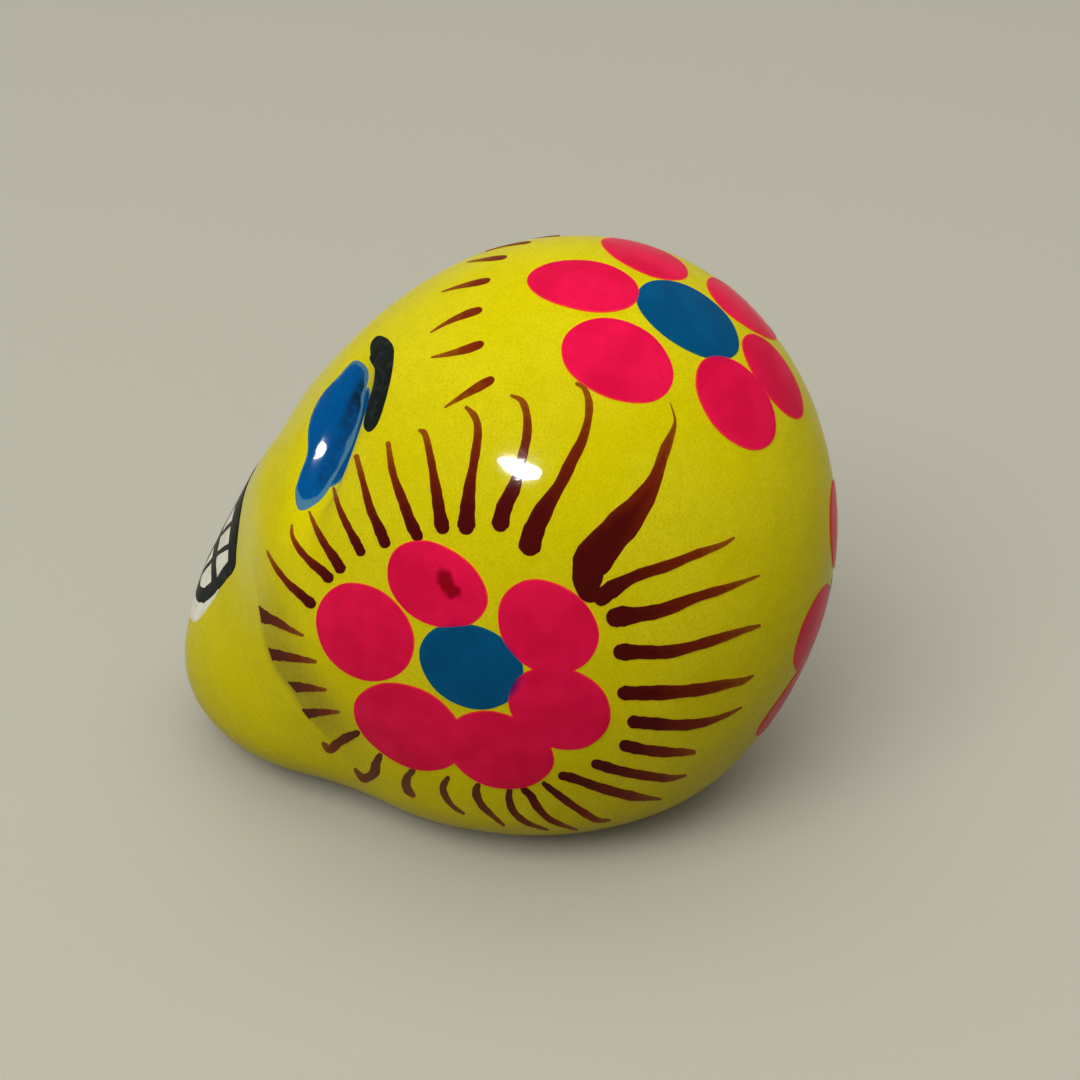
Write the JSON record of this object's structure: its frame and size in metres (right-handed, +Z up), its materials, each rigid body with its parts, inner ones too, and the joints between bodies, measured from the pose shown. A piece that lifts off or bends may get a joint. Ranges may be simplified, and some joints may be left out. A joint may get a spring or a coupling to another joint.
{
  "type": "sugar skull",
  "caption": "Small hollow clay skull ornament with a flat foot, pressed eye sockets and raised flower daubs of enamel.",
  "frame": {"origin": "middle of the outline's box, on the plane of the foot", "axes": "+Z up from the foot, -Y out of the face, +X out of the skull's left side"},
  "size_m": [0.05, 0.067, 0.0581],
  "materials": {
    "yellow_enamel": "glossy varnish over a finely speckled yellow enamel on clay",
    "pink_enamel": "glossy varnish over bright pink enamel",
    "blue_enamel": "glossy varnish over deep blue enamel",
    "black_enamel": "glossy varnish over black enamel",
    "white_enamel": "glossy varnish over off-white enamel",
    "brown_enamel": "glossy varnish over dark red-brown brush strokes"
  },
  "bodies": {
    "root": {"face_half": "yellow_enamel", "back_half": "yellow_enamel", "left_eye_enamel": "blue_enamel", "right_eye_enamel": "blue_enamel", "left_brow": "black_enamel", "right_brow": "black_enamel", "nose_enamel": "black_enamel", "teeth_ground": "white_enamel", "tooth_lines": "black_enamel", "left_side_flower_petal_1": "pink_enamel", "left_side_flower_petal_2": "pink_enamel", "left_side_flower_petal_3": "pink_enamel", "left_side_flower_petal_4": "pink_enamel", "left_side_flower_petal_5": "pink_enamel", "left_side_flower_petal_6": "pink_enamel", "left_side_flower_centre": "blue_enamel", "right_side_flower_petal_1": "pink_enamel", "right_side_flower_petal_2": "pink_enamel", "right_side_flower_petal_3": "pink_enamel", "right_side_flower_petal_4": "pink_enamel", "right_side_flower_petal_5": "pink_enamel", "right_side_flower_petal_6": "pink_enamel", "right_side_flower_centre": "blue_enamel", "crown_flower_petal_1": "pink_enamel", "crown_flower_petal_2": "pink_enamel", "crown_flower_petal_3": "pink_enamel", "crown_flower_petal_4": "pink_enamel", "crown_flower_petal_5": "pink_enamel", "crown_flower_petal_6": "pink_enamel", "crown_flower_centre": "blue_enamel", "back_flower_petal_1": "pink_enamel", "back_flower_petal_2": "pink_enamel", "back_flower_petal_3": "pink_enamel", "back_flower_petal_4": "pink_enamel", "back_flower_petal_5": "pink_enamel", "back_flower_petal_6": "pink_enamel", "back_flower_centre": "blue_enamel"}
  },
  "joints": []
}
